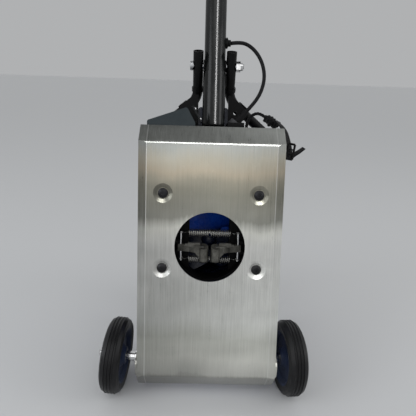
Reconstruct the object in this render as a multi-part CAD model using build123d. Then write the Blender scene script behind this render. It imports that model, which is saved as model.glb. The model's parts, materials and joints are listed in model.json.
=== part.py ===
from build123d import *
import math
import os

# Pool vacuum head, parked upright: a stainless steel pan faces -Y, two wheels and the foot of a
# tubular frame stand on the floor, and a pole pivots between the open ends of that frame.
# Millimetres, +Z up, floor at z = 0, X across the pan.
#
# The head's own parts are drawn in head coordinates (x, n, s): n runs back from the pan's face,
# s runs up the pan from its lower fold. HEAD leans them back onto the wheels.

# ---------------------------------------------------------------- driving dimensions
LEAN = 11.6                  # the parked head leans back, degrees
FOLD_Y = -291.5              # puts the origin under the middle of the whole object
SHEET = 2.0                  # stainless sheet thickness

PAN_W = 254.0
PAN_H = 423.0                # fold to fold
RAMP_RISE = (28.5, 30.5)     # the bent-back ends, lower and upper
RAMP_DEPTH = 27.0
FOLD_R = 9.0                 # outside radius of both folds
SIDE_STRIP = 14.0            # narrow strips bent back along both sides
SIDE_DROP = 2.4
PORT_S = 241.6               # suction port, up from the lower fold
PORT_R = 62.2
SCREW_X = 83.8
SCREW_ROWS = (202.6, 335.6)
DIMPLE_R = 17.0
DIMPLE_DEPTH = 3.0
SCREW_HEAD_R = 9.2

DUCT_R = 70.0                # inside of the hull's water duct
DUCT_WALL = 4.0
DUCT_END = 150.0
HULL_FRONT = 6.0
HULL_BACK = 64.0
HULL_WALL = 4.0
HULL_MID = 222.0
SPINE = (-27.0, 31.0)        # x of the hull's spine behind the pole
YOKE_BACK = 111.5
YOKE_WEB = 101.0             # front face of the yoke's web
BOX_FRONT = 34.0             # shoulder box
BOX_BACK = 50.0

GUARD_S = PORT_S - 5.4       # middle of the sprung guard
GUARD_PIVOT = (54.0, 34.0)   # x, n of the guard arms' pivots
GUARD_PIN = (52.0, 24.0)     # x, n of the spring pins
SPRING_R = 7.4
SPRING_LENGTH = 76.0
SPRING_RISE = (27.0, -21.3)  # upper and lower spring, from the guard's middle
KNUCKLE = (10.5, 8.0)        # x, n of the arms' rounded noses
KNUCKLE_R = 8.2
FRAME_FRONT = 31.0           # the guard frame's front, behind the pan's face
THROAT = (56.0, 72.0)        # its narrow part
THROAT_X = 38.0
GUARD_PIN_R = 2.4
ARM_HALF = 6.2

PROP_N = 92.0                # propeller, behind the pan's face
BLADE_W = 84.0
BLADE_TIP = 67.0
BLADE_PITCH = 18.0
MOTOR_R = 40.0
MOTOR_FRONT = 118.0
MOTOR_END = 212.0
BEARING_R = 14.0
COLLAR_R = 78.0
COLLAR = (138.0, 192.0)
EAR_N = 167.4
BAG_START = 180.0

WHEEL_R = 70.0
WHEEL_W = 36.0
RIM_R = 51.0
WHEEL_MID = {-1: 170.5, 1: 159.5}      # middle of each wheel, from the middle of the pan
WHEEL_TOE = {-1: 3.6, 1: 6.5}          # the worn axles let the wheels stand a little crooked
WHEEL_CAMBER = {-1: 3.8, 1: -1.2}
AXLE_N = 45.0
AXLE_S = 19.0
AXLE_R = 6.0
RUNNING_GAP = 0.05

TUBE_R = 9.5                 # frame tube
TUBE_WALL = 1.6
FORK_X = 31.0
LEG_X = 117.3
LEG_Y = 226.0                # behind the lower fold
FOOT_R = 12.0
BAR = 3.0                    # side bars that carry the axles
BAR_RIVETS = ((15.0, 60.0), (17.0, 82.0))      # y behind the lower fold, z

PIVOT_X = 2.2                # pole pivot, off the pan's middle
PIVOT_Y = 204.0              # and behind its lower fold
PIVOT_Z = 601.0
FORK_LEAN = -15.0            # the fork's ends lean forward
POLE_LEAN = 18.4
POLE_R = 20.0
POLE_WALL = 1.6
POLE_UP = 1200.0             # from the pivot to the pole's end
POLE_DOWN = 113.0
SLEEVE_R = 21.2
BOLT_R = 5.0
GROMMET_Z = 44.0             # cable grommet, up the pole from its pivot
GROMMET_TIP = 29.0

CABLE_R = 3.5
ROPE_R = 3.0

# The cable's route, x, y behind the lower fold, z: from its gland to the pole.
CABLE_ROUTE = [
    (66.0, 187.0, 522.0),
    (80.5, 191.0, 537.5),
    (92.0, 197.0, 556.5),
    (98.0, 204.0, 579.0),
    (96.0, 212.0, 601.5),
    (87.0, 219.5, 622.0),
    (71.5, 224.5, 638.5),
    (51.5, 224.5, 646.5),
    (PIVOT_X + GROMMET_TIP, 217.9, 642.7),
]
# The draw rope's route in head coordinates: from its eyelet, in a loop over the shoulder, to the knot.
ROPE_ROUTE = [
    (64.0, 66.0, 440.0),
    (63.0, 66.0, 455.0),
    (65.5, 65.0, 470.0),
    (75.5, 62.0, 481.5),
    (88.5, 58.0, 482.0),
    (98.5, 54.5, 473.5),
]

# Height of the pan's lower fold, so that the wheels stand on the floor.
FOLD_Z = WHEEL_R - AXLE_S * math.cos(math.radians(LEAN)) + AXLE_N * math.sin(math.radians(LEAN))
HEAD = Pos(0, FOLD_Y, FOLD_Z) * Rot(-LEAN, 0, 0)
PARKED = Pos(0, FOLD_Y, 0)
POLE = PARKED * Pos(PIVOT_X, PIVOT_Y, PIVOT_Z) * Rot(-POLE_LEAN, 0, 0)
WHEEL_AXIS = (HEAD * Pos(0, AXLE_N, AXLE_S)).position
AXLE_Y = WHEEL_AXIS.Y - FOLD_Y
AXLE_Z = WHEEL_AXIS.Z
nodes = {}


# ---------------------------------------------------------------- small helpers
def block(x0, x1, y0, y1, z0, z1):
    return Pos((x0 + x1) / 2, (y0 + y1) / 2, (z0 + z1) / 2) * Box(x1 - x0, y1 - y0, z1 - z0)


def rod_x(radius, x0, x1, y, z):
    return Pos((x0 + x1) / 2, y, z) * Rot(0, 90, 0) * Cylinder(radius, abs(x1 - x0))


def rod_y(radius, y0, y1, x, z):
    return Pos(x, (y0 + y1) / 2, z) * Rot(90, 0, 0) * Cylinder(radius, y1 - y0)


def rod_z(radius, z0, z1, x, y):
    return Pos(x, y, (z0 + z1) / 2) * Cylinder(radius, z1 - z0)


def turned(points):
    """A solid of revolution about Z from an outline of (radius, height) points."""
    outline = Plane.XZ * make_face(Polyline(*points, close=True))
    return revolve(outline, Axis.Z)


def along_y(shape, x, z):
    """Lays a solid turned about Z along +Y, through (x, z)."""
    return Pos(x, 0, z) * Rot(-90, 0, 0) * shape


def along_x(shape, side, y, z):
    """Lays a solid turned about Z along +X or -X, through (y, z)."""
    return Pos(0, y, z) * Rot(0, 90 * side, 0) * shape


def on_wheel(shape, side):
    """Lays a solid turned about Z on a wheel's own axle line; its origin is the wheel's middle."""
    middle = Pos(side * WHEEL_MID[side], WHEEL_AXIS.Y, WHEEL_AXIS.Z)
    tilt = Rot(0, 0, side * WHEEL_TOE[side]) * Rot(0, -side * WHEEL_CAMBER[side], 0)
    return middle * tilt * Rot(0, 90 * side, 0) * shape


def rounded_slab(width, height, corner, y0, y1, z_mid):
    outline = Plane.XZ.offset(-y1) * Pos(0, z_mid) * RectangleRounded(width, height, corner)
    return extrude(outline, y1 - y0)


def route_radii(points):
    """The largest arc that each corner of a route allows."""
    radii = []
    for before, here, after in zip(points, points[1:], points[2:]):
        run_in = Vector(*here) - Vector(*before)
        run_out = Vector(*after) - Vector(*here)
        turn = math.radians(run_in.get_angle(run_out))
        radii.append(0.45 * min(run_in.length, run_out.length) / math.tan(turn / 2))
    return radii


def tube_along(points, radii, radius):
    path = FilletPolyline(*points, radius=radii)
    start = Plane(origin=path @ 0, z_dir=path % 0)
    return sweep(start * Circle(radius), path)


# ---------------------------------------------------------------- pan and its screws
def pan_blank(inset):
    """The pan's outer form, or its inner form when inset by the sheet's thickness."""
    low_rise, high_rise = RAMP_RISE
    low = inset * math.tan(math.atan2(RAMP_DEPTH, low_rise) / 2)
    high = PAN_H - inset * math.tan(math.atan2(RAMP_DEPTH, high_rise) / 2)
    back = RAMP_DEPTH + (1.0 if inset else 0.0)
    reach = (back - inset) / RAMP_DEPTH
    outline = Polyline((inset, low), (inset, high), (back, high + high_rise * reach), (back, low - low_rise * reach),
                       close=True)
    profile = make_face(outline)
    folds = profile.vertices().sort_by(Axis.X)[0:2]
    profile = fillet(folds, FOLD_R - inset)
    lengthwise = extrude(Plane.YZ.offset(-PAN_W / 2) * profile, PAN_W)
    half = PAN_W / 2 - inset
    strip = PAN_W / 2 - SIDE_STRIP
    across = Polyline(
        (-half, back), (-half, inset + SIDE_DROP), (-strip, inset), (strip, inset),
        (half, inset + SIDE_DROP), (half, back), close=True)
    tall = PAN_H + 4 * high_rise
    widthwise = extrude(Plane.XY.offset(-2 * low_rise) * make_face(across), tall)
    return lengthwise & widthwise


def screw_places():
    return [(x, s) for x in (-SCREW_X, SCREW_X) for s in SCREW_ROWS]


def base_plate():
    pan = pan_blank(0) - pan_blank(SHEET)
    cup_out = turned([(0, 0), (DIMPLE_R + SHEET, 0), (SCREW_HEAD_R + 3, DIMPLE_DEPTH + SHEET),
                      (0, DIMPLE_DEPTH + SHEET)])
    cup_in = turned([(0, -1), (DIMPLE_R, -1), (DIMPLE_R, 0), (SCREW_HEAD_R + 1, DIMPLE_DEPTH),
                     (0, DIMPLE_DEPTH)])
    for x, s in screw_places():
        pan += along_y(Pos(0, 0, 0.5) * cup_out, x, s)
    for x, s in screw_places():
        pan -= along_y(cup_in, x, s)
        pan -= rod_y(4.2, -1, 9, x, s)
    pan -= rod_y(PORT_R, -1, 9, 0, PORT_S)
    for side in (-1, 1):
        for y, z in BAR_RIVETS:
            pan -= HEAD.inverse() * PARKED * rod_x(3.1, side * 120, side * 130, y, z)
    return HEAD * pan


def plate_screws():
    outline = [(0, 14), (4.0, 14), (4.0, 0), (SCREW_HEAD_R, 0), (SCREW_HEAD_R - 0.8, -2.4), (5.0, -4.2),
               (0, -4.8)]
    screw = turned(outline)
    screw -= extrude(Plane.XY.offset(-6) * RegularPolygon(3.4, 6), 3.6)
    screws = [along_y(Pos(0, 0, DIMPLE_DEPTH) * screw, x, s) for x, s in screw_places()]
    return HEAD * Compound(children=screws)


# ---------------------------------------------------------------- hull behind the pan
def shell_form(inset):
    """The hull's back, tapering from its flange to a smaller rounded face."""
    wide = Plane.XZ.offset(-HULL_FRONT) * Pos(0, HULL_MID) * RectangleRounded(
        200 - 2 * inset, 380 - 2 * inset, 34 - inset)
    narrow = Plane.XZ.offset(-(HULL_BACK - inset)) * Pos(0, HULL_MID) * RectangleRounded(
        164 - 2 * inset, 330 - 2 * inset, 40 - inset)
    return loft([wide.face(), narrow.face()])


def hull():
    """Moulded hull: open at the front, a flange, four screw bosses, the water duct and a spine."""
    body = shell_form(0) + rounded_slab(212, 390, 36, HULL_FRONT, HULL_FRONT + 3, HULL_MID)
    body -= shell_form(HULL_WALL)
    body += rod_y(DUCT_R + DUCT_WALL, HULL_FRONT, DUCT_END, 0, PORT_S)
    spine = block(SPINE[0], SPINE[1], 105, YOKE_BACK, 300, 496)
    body += fillet(spine.edges().filter_by(Axis.Y).sort_by(Axis.Z)[2:4], 5)
    for x, s in screw_places():
        body += rod_y(9, HULL_FRONT, HULL_FRONT + 30, x, s)
    body -= rod_y(DUCT_R, 0, DUCT_END + 1, 0, PORT_S)
    for x, s in screw_places():
        body -= rod_y(4.05, 0, 20, x, s)
    return HEAD * body


def hull_gasket():
    """Flat seal between the pan and the hull, cut out for the port and the pressed dimples."""
    seal = rounded_slab(206, 384, 32, SHEET, HULL_FRONT, HULL_MID)
    seal -= rounded_slab(192, 370, 26, 0, HULL_FRONT + 1, HULL_MID)
    seal += rod_y(DUCT_R + 2, SHEET, HULL_FRONT, 0, PORT_S)
    seal -= rod_y(DUCT_R - 4, 0, HULL_FRONT + 1, 0, PORT_S)
    for x, s in screw_places():
        seal -= rod_y(DIMPLE_R + SHEET + 0.3, 0, HULL_FRONT + 1, x, s)
    return HEAD * seal


def guard_frame():
    """Black insert in the duct with two flat cheeks; its ears hold the guard arms' pivots."""
    insert = rod_y(DUCT_R - 0.2, FRAME_FRONT, THROAT[1], 0, PORT_S)
    insert -= rod_y(DUCT_R - 4, FRAME_FRONT - 1, THROAT[0], 0, PORT_S)
    opening = rod_y(DUCT_R - 4, 0, 200, 0, PORT_S)
    opening &= block(-THROAT_X, THROAT_X, 0, 200, PORT_S - 80, PORT_S + 80)
    insert -= opening
    x, n = GUARD_PIVOT
    for side in (-1, 1):
        for rise in (ARM_HALF + 0.5, -ARM_HALF - 5.5):
            low = GUARD_S + rise
            ends = sorted((side * (x - 5), side * 67))
            ear = block(*ends, n - 4.5, n + 5, low, low + 5)
            insert += ear - rod_z(2.5, low - 1, low + 6, side * x, n)
    return HEAD * insert


def guard_pivots():
    x, n = GUARD_PIVOT
    reach = ARM_HALF + 5.5
    pins = [rod_z(2.5, GUARD_S - reach, GUARD_S + reach, side * x, n) for side in (-1, 1)]
    return HEAD * Compound(children=pins)


def guard_nose():
    """Upright rounded nose of an arm, its top cut down towards the front."""
    x, n = KNUCKLE
    nose = rod_z(KNUCKLE_R, GUARD_S - 22.5, GUARD_S + 10, x, n)
    nose = fillet(nose.edges().sort_by(Axis.Z)[0], 3)
    cutter = Pos(x, n, GUARD_S + 5.5) * Rot(24, 0, 0) * Pos(0, 0, 20) * Box(40, 60, 40)
    return nose - cutter


def guard_arm(side):
    """Cast arm: a bar from its pivot to the nose beside the port's centre, with a stepped tab on top."""
    px, pn = GUARD_PIVOT
    qx, qn = GUARD_PIN
    kx, kn = KNUCKLE
    low = GUARD_S - ARM_HALF
    high = GUARD_S + ARM_HALF
    outline = Polyline((px + 5, pn), (px, pn + 5), (px - 6, pn), (qx - 5, qn + 5), (kx + 16, kn + 7),
                       (kx, kn + 5), (kx, kn - 4), (kx + 14, kn - 3), (kx + 26, qn - 9), (qx - 3, qn - 5),
                       (qx + 5, qn - 3.5), close=True)
    bar = extrude(Plane.XY.offset(low) * make_face(outline), high - low)
    gusset = Polyline((kx, high), (kx + 16, high), (kx + 15, low), (kx + 8.5, low - 7), (kx, low - 13), close=True)
    bar += extrude(Plane.XZ.offset(-kn - 3) * make_face(gusset), 6)
    bar += guard_nose()
    bar += block(kx + 6.5, kx + 28, kn + 2, kn + 10, high - 2, high + 5)
    bar += block(kx + 27, kx + 33, kn + 5, kn + 12, high - 2, high + 2.5)
    bar -= rod_z(2.5 + RUNNING_GAP, low - 1, high + 1, px, pn)
    bar -= rod_z(GUARD_PIN_R, low - 1, high + 1, qx, qn)
    arm = HEAD * bar
    return arm if side > 0 else mirror(arm, Plane.YZ)


def guard_pin(side):
    """Chromed pin through an arm: both springs hook on it."""
    x, n = GUARD_PIN
    pin = rod_z(GUARD_PIN_R, GUARD_S - 24, GUARD_S + 29.5, side * x, n)
    return HEAD * pin


def guard_spring(rise):
    """Extension spring as the sleeve that its coils fill, with a straight hook to each pin."""
    x, n = GUARD_PIN
    z = GUARD_S + rise
    half = SPRING_LENGTH / 2
    coil = rod_x(SPRING_R, -half, half, n, z) - rod_x(SPRING_R - 2, -half + 2, half - 2, n, z)
    for side in (-1, 1):
        ends = sorted((side * (half - 1), side * (x - 3.5)))
        coil += rod_x(1.0, *ends, n, z)
    return HEAD * coil


# ---------------------------------------------------------------- drive
def propeller():
    """Propeller in the duct: three wide rounded blades on a nose cone."""
    hub = rod_y(15, PROP_N - 10, PROP_N + 14, 0, PORT_S)
    hub += Pos(0, PROP_N - 10, PORT_S) * Sphere(15)
    ring = rod_y(BLADE_TIP, PROP_N - 30, PROP_N + 30, 0, PORT_S)
    for turn in range(3):
        blade = Box(BLADE_W, 3, 62)
        blade = Pos(0, 0, 41) * Rot(0, 0, BLADE_PITCH) * fillet(blade.edges().filter_by(Axis.Y), 10)
        hub += (Pos(0, PROP_N, PORT_S) * Rot(0, 120 * turn, 0) * blade) & ring
    hub -= rod_y(5.0, PROP_N - 6, PROP_N + 15, 0, PORT_S)
    return HEAD * hub


def motor_shaft():
    return HEAD * rod_y(5.0, PROP_N - 6, MOTOR_FRONT + 30, 0, PORT_S)


def motor_housing():
    """Sealed motor can with its bearing seat, held in the duct by four vanes."""
    can = rod_y(MOTOR_R, MOTOR_FRONT, MOTOR_END, 0, PORT_S)
    can = fillet(can.edges().sort_by(Axis.Y)[0], 8)
    for turn in range(4):
        vane = block(-2, 2, MOTOR_FRONT + 6, MOTOR_FRONT + 26, MOTOR_R - 3, DUCT_R - 0.1)
        can += Pos(0, 0, PORT_S) * Rot(0, 45 + 90 * turn, 0) * vane
    can -= rod_y(MOTOR_R - 4, MOTOR_FRONT + 26, MOTOR_END + 1, 0, PORT_S)
    can -= rod_y(BEARING_R, MOTOR_FRONT + 12, MOTOR_FRONT + 27, 0, PORT_S)
    can -= rod_y(8.0, MOTOR_FRONT - 1, MOTOR_FRONT + 13, 0, PORT_S)
    return HEAD * can


def motor_core():
    """Winding stack inside the can."""
    core = rod_y(MOTOR_R - 6, MOTOR_FRONT + 32, MOTOR_END - 2, 0, PORT_S)
    return HEAD * core


def motor_end_cap():
    cap = rod_y(MOTOR_R, MOTOR_END, MOTOR_END + 7, 0, PORT_S)
    cap += rod_y(MOTOR_R - 4.2, MOTOR_END - 2, MOTOR_END, 0, PORT_S)
    cap = fillet(cap.edges().sort_by(Axis.Y)[-1], 4)
    return HEAD * cap


def shaft_seal():
    return HEAD * (rod_y(8.0, MOTOR_FRONT - 3, MOTOR_FRONT + 8, 0, PORT_S)
                   - rod_y(5.0 + RUNNING_GAP, MOTOR_FRONT - 4, MOTOR_FRONT + 9, 0, PORT_S))


def shaft_bearing():
    return HEAD * (rod_y(BEARING_R, MOTOR_FRONT + 14, MOTOR_FRONT + 22, 0, PORT_S)
                   - rod_y(5.0 + RUNNING_GAP, MOTOR_FRONT + 13, MOTOR_FRONT + 23, 0, PORT_S))


# ---------------------------------------------------------------- discharge and bag
def discharge_collar():
    """Black collar on the duct's end, with an ear out to each frame leg."""
    collar = rod_y(COLLAR_R, COLLAR[0], COLLAR[1], 0, PORT_S)
    collar += rod_y(COLLAR_R + 3, COLLAR[1] - 6, COLLAR[1], 0, PORT_S)
    ears = block(-LEG_X - 14, LEG_X + 14, EAR_N - 8, EAR_N, PORT_S - 17, PORT_S + 17)
    collar += fillet(ears.edges().filter_by(Axis.Y), 8)
    collar -= rod_y(DUCT_R, COLLAR[0] - 1, COLLAR[1] + 1, 0, PORT_S)
    collar -= rod_y(DUCT_R + DUCT_WALL + 0.1, COLLAR[0] - 1, DUCT_END, 0, PORT_S)
    return HEAD * collar


def leg_clamps():
    """A saddle cap round each leg, screwed to the collar's ear."""
    caps = []
    for side in (-1, 1):
        cap = block(side * LEG_X - 14, side * LEG_X + 14, EAR_N, EAR_N + 29, PORT_S - 15, PORT_S + 15)
        caps.append(HEAD * fillet(cap.edges().filter_by(Axis.Z), 5))
    legs = [PARKED * rod_z(TUBE_R, 150, 400, side * LEG_X, LEG_Y) for side in (-1, 1)]
    return Compound(children=[cap - leg for cap, leg in zip(caps, legs)])


def debris_bag():
    """Bag behind the collar, as the closed cloth form: it hangs a little below the duct."""
    def skin(inset, back):
        rings = [(BAG_START, COLLAR_R + 4, COLLAR_R + 4, PORT_S), (BAG_START + 16, 92, 92, PORT_S - 2),
                 (BAG_START + 60, 112, 118, PORT_S - 18), (BAG_START + 118, 110, 122, PORT_S - 38),
                 (BAG_START + 150 - back, 62, 72, PORT_S - 46)]
        faces = [(Plane.XZ.offset(-n) * Pos(0, s) * Ellipse(a - inset, b - inset)).face()
                 for n, a, b, s in rings]
        return loft(faces)
    return HEAD * (skin(0, 0) - skin(3, 4))


def neck_band():
    """Webbing band that draws the bag's neck onto the collar."""
    band = rod_y(COLLAR_R + 6, BAG_START - 2, BAG_START + 10, 0, PORT_S)
    return HEAD * (band - rod_y(COLLAR_R + 4, BAG_START - 3, BAG_START + 11, 0, PORT_S))


def strap(points, width, thick):
    """A flat strap in head coordinates, its width along n."""
    runs = []
    for (x0, s0), (x1, s1), n in points:
        length = math.hypot(x1 - x0, s1 - s0)
        angle = math.degrees(math.atan2(s1 - s0, x1 - x0))
        runs.append(Pos((x0 + x1) / 2, n, (s0 + s1) / 2) * Rot(0, -angle, 0) * Box(length, width, thick))
    body = runs[0]
    for run in runs[1:]:
        body += run
    return HEAD * body


def side_strap():
    """Bag strap over the pan's upper right corner to its buckle, and the strap's free tail."""
    down = strap([((112, 468), (131.5, 447), 36), ((131.0, 448), (138.5, 414), 36)], 14, 2.4)
    tail = strap([((139.5, 401), (166, 419), 36)], 12, 2.0)
    return Compound(children=[down, tail])


def strap_buckle():
    frame = block(-9, 9, -10, 10, -3, 3) - block(-6, -1.5, -7, 7, -4, 4) - block(1.5, 6, -7, 7, -4, 4)
    return HEAD * Pos(138.6, 36, 407.5) * Rot(0, 80, 0) * frame


def rope_knot():
    """Hitched hank of the draw rope, lying over the shoulder."""
    hank = Pos(108.5, 53.5, 466.5) * Rot(0, 34, 0) * Cylinder(9, 26, rotation=(0, 90, 0))
    return HEAD * fillet(hank.edges(), 6)


def draw_rope():
    points = [(HEAD * Pos(*point)).position for point in ROPE_ROUTE]
    return tube_along(points, route_radii(points), ROPE_R)


# ---------------------------------------------------------------- left shoulder box
def shoulder_box():
    """Slate grey box on the hull's left shoulder, its top sloping down to the side."""
    outline = Polyline((-114, 416), (-114, 459), (-48, 482), (-34, 458), (-34, 438), (-48, 416), close=True)
    body = extrude(Plane.XZ.offset(-BOX_BACK) * make_face(outline), BOX_BACK - BOX_FRONT)
    body = fillet(body.edges().filter_by(Axis.Y), 3)
    return HEAD * body


def shoulder_lid():
    outline = Polyline((-116, 414), (-116, 461.5), (-46, 486), (-31, 459), (-31, 440), (-46, 414), close=True)
    lid = extrude(Plane.XZ.offset(-BOX_FRONT + 2) * make_face(outline), 4)
    lid = fillet(lid.edges().filter_by(Axis.Y), 4)
    return HEAD * lid


def lid_gasket():
    outline = Polyline((-115, 415), (-115, 460.5), (-47, 484), (-32.5, 458.5), (-32.5, 439), (-47, 415),
                       close=True)
    seal = extrude(Plane.XZ.offset(-BOX_FRONT) * make_face(outline), 2)
    return HEAD * fillet(seal.edges().filter_by(Axis.Y), 3)


def latch_plate():
    """Stainless strip down the lid's inner edge."""
    strip = Pos(-32.4, 0, 472.5) * Rot(0, 61, 0) * block(-16, 16, BOX_FRONT - 6, BOX_BACK - 2, 0, 2.5)
    return HEAD * Pos(3.0, 0, 1.5) * strip


def latch_screws():
    screws = []
    for slide in (-10, 10):
        head = Pos(slide, BOX_FRONT + 1, 2.5) * turned([(0, 0), (3.2, 0), (2.4, 2.0), (0, 2.6)])
        screws.append(Pos(-29.4, 0, 474.0) * Rot(0, 61, 0) * head)
    return HEAD * Compound(children=screws)


# ---------------------------------------------------------------- wheels
def wheel_tyre(side):
    half = WHEEL_W / 2
    outline = [(RIM_R, -half + 2), (WHEEL_R - 9, -half), (WHEEL_R - 4, -half + 3), (WHEEL_R - 1.2, -half + 9)]
    for groove in (-6, 0, 6):
        outline += [(WHEEL_R, groove - 2.2), (WHEEL_R - 1.6, groove - 1.2), (WHEEL_R - 1.6, groove + 1.2),
                    (WHEEL_R, groove + 2.2)]
    outline += [(WHEEL_R - 1.2, half - 9), (WHEEL_R - 4, half - 3), (WHEEL_R - 9, half), (RIM_R, half - 2)]
    return on_wheel(turned(outline), side)


def wheel_hub(side):
    """Dished hub: a rim, a thin web and a boss."""
    half = WHEEL_W / 2
    outline = [(8.0, -half), (15, -half), (17, -half + 4), (22, -9), (42, -8), (47, -half + 4), (RIM_R, -half + 2),
               (RIM_R, half - 2), (47, half - 4), (42, 1), (22, 2), (17, half - 4), (15, half), (8.0, half)]
    return on_wheel(turned(outline), side)


def wheel_bush(side):
    half = WHEEL_W / 2
    bore = AXLE_R + RUNNING_GAP
    return on_wheel(turned([(bore, -half), (8.0, -half), (8.0, half), (bore, half)]), side)


def axle_shank(side, radius):
    """The axle's shank from inside the side bar to its end, square to the bar or not."""
    inward = WHEEL_MID[side] - LEG_X - 4
    return on_wheel(turned([(0, -inward), (radius, -inward), (radius, WHEEL_W / 2 + 14), (0, WHEEL_W / 2 + 14)]), side)


def bar_crossing(side):
    """Where the axle's line passes the side bar."""
    reach = WHEEL_MID[side] - PAN_W / 2
    y = AXLE_Y - reach * math.tan(math.radians(WHEEL_TOE[side]))
    z = AXLE_Z - reach * math.tan(math.radians(WHEEL_CAMBER[side]))
    return y, z


def axle_bolt(side):
    """Axle bolt: a low head inside the side bar, the shank out through the wheel."""
    y, z = bar_crossing(side)
    head = PARKED * rod_x(10, side * (LEG_X + 1), side * PAN_W / 2, y, z)
    inner = PARKED * block(-PAN_W / 2 + 3, PAN_W / 2 - 3, 0, 100, 0, 140)
    return head + (axle_shank(side, AXLE_R) - inner)


def axle_spacer(side):
    """Chromed collar between the side bar and the wheel, cut off square to the bar."""
    start = PAN_W / 2 + BAR - WHEEL_MID[side]
    end = -WHEEL_W / 2 - 0.4
    shape = [(AXLE_R, start - 3), (12, start - 3), (12, start + 5), (9, start + 6), (9, end), (AXLE_R, end)]
    inner = PARKED * block(-PAN_W / 2 - BAR, PAN_W / 2 + BAR, 0, 100, 0, 140)
    return on_wheel(turned(shape), side) - inner


def axle_nut(side):
    """Domed lock nut with its washer."""
    start = WHEEL_W / 2 + 0.4
    nut = Pos(0, 0, start + 1.6) * extrude(RegularPolygon(10.5, 6), 8.5)
    nut += Pos(0, 0, start) * Cylinder(12.5, 1.6, align=(Align.CENTER, Align.CENTER, Align.MIN))
    nut += Pos(0, 0, start + 9) * turned([(0, 0), (8.8, 0), (8.2, 4), (5.5, 6.8), (0, 7.6)])
    nut -= Cylinder(AXLE_R, 8 * WHEEL_W)
    return on_wheel(nut, side)


def side_bar(side):
    """Flat steel bar from the pan's side wall, past the axle, to the frame's leg."""
    bar = block(0, BAR, 4, LEG_Y + 18, AXLE_Z - 19, AXLE_Z + 19)
    bar = fillet(bar.edges().filter_by(Axis.X), 14)
    bar -= rod_x(4.0, -1, BAR + 1, LEG_Y, AXLE_Z)
    for y, z in BAR_RIVETS:
        bar -= rod_x(3.0, -1, BAR + 1, y, z)
    bar = Pos(PAN_W / 2, 0, 0) * bar
    return PARKED * (bar if side > 0 else mirror(bar, Plane.YZ)) - axle_shank(side, AXLE_R)


def bar_rivets():
    rivets = []
    for side in (-1, 1):
        for y, z in BAR_RIVETS:
            pin = turned([(0, 121), (5, 121), (5, PAN_W / 2 - SHEET), (3.0, PAN_W / 2 - SHEET),
                          (3.0, PAN_W / 2 + BAR), (0, PAN_W / 2 + BAR)])
            rivets.append(PARKED * along_x(pin, side, y, z))
    return Compound(children=rivets)


# ---------------------------------------------------------------- frame
FRAME_RADII = [40, 40, 48, 48, 40, 40]


def frame_side(side):
    """One side of the bent tube: fork end, knee, leg and foot."""
    lean = math.radians(FORK_LEAN)
    x = PIVOT_X + side * FORK_X
    top = (x, PIVOT_Y + 27 * math.sin(lean), PIVOT_Z + 27 * math.cos(lean))
    knee = (x, PIVOT_Y - 64 * math.sin(lean), PIVOT_Z - 64 * math.cos(lean))
    return [top, knee, (side * LEG_X, LEG_Y, 468), (side * LEG_X, LEG_Y, FOOT_R)]


def frame_route():
    return frame_side(1) + frame_side(-1)[::-1]


def tube_frame():
    """One bent tube: both open ends carry the pole, its lower run is the parking foot."""
    frame = frame_rod() - tube_along(frame_route(), FRAME_RADII, TUBE_R - TUBE_WALL)
    lean = math.radians(FORK_LEAN)
    for side in (-1, 1):
        x = PIVOT_X + side * FORK_X
        weld = Pos(x, PIVOT_Y - 44 * math.sin(lean), PIVOT_Z - 44 * math.cos(lean)) * Rot(-FORK_LEAN, 0, 0)
        frame += weld * (Cylinder(TUBE_R + 2.0, 8) - Cylinder(TUBE_R - 0.5, 9))
        frame -= rod_x(BOLT_R + 0.1, x - 15, x + 15, PIVOT_Y, PIVOT_Z)
        frame -= rod_x(4.1, side * (LEG_X - 15), side * (LEG_X + 15), LEG_Y, AXLE_Z)
    return PARKED * frame


def foot_sleeves():
    sleeves = [rod_x(FOOT_R, side * 30, side * 58, LEG_Y, FOOT_R) - rod_x(TUBE_R, side * 29, side * 59, LEG_Y, FOOT_R)
               for side in (-1, 1)]
    return PARKED * Compound(children=sleeves)


def leg_bolts():
    """Bolts through the side bars and the frame's legs."""
    bolts = []
    for side in (-1, 1):
        shape = turned([(0, LEG_X - 17), (7.5, LEG_X - 17), (7.5, LEG_X - 9.7), (4.0, LEG_X - 9.7),
                        (4.0, PAN_W / 2 + BAR), (7.5, PAN_W / 2 + BAR), (6.5, PAN_W / 2 + BAR + 4),
                        (0, PAN_W / 2 + BAR + 5)])
        bolts.append(PARKED * along_x(shape, side, LEG_Y, AXLE_Z))
    return Compound(children=bolts)


def frame_rod():
    """The bent tube's full section, to cut seats for it."""
    return tube_along(frame_route(), FRAME_RADII, TUBE_R)


def yoke_arm(side):
    """One half of the black yoke: a lug on the hull, a web behind the pole and its edge on the tube."""
    lug = block(side * 43 - 15, side * 43 + 15, BOX_BACK, YOKE_WEB + 3, 372, 464)
    lug = fillet(lug.edges().filter_by(Axis.X), 4)
    inner = SPINE[1] if side > 0 else SPINE[0]
    edge = [(34, 519), (40, 515), (54, 504), (68, 489), (68, 478), (58, 470), (58, 372)]
    outline = [(inner, 519)] + [(side * x, s) for x, s in edge] + [(inner, 372)]
    web = extrude(Plane.XZ.offset(-YOKE_BACK) * make_face(Polyline(*outline, close=True)), YOKE_BACK - YOKE_WEB)
    arm = lug + web
    if side > 0:
        eyelet = block(57, 71, 60, 72, 428, 440)
        arm += fillet(eyelet.edges().filter_by(Axis.Y), 3)
        arm -= rod_y(3.6, YOKE_WEB - 1, YOKE_BACK + 1, 44.5, 486)
    return HEAD * (arm - shell_form(0))


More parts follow.
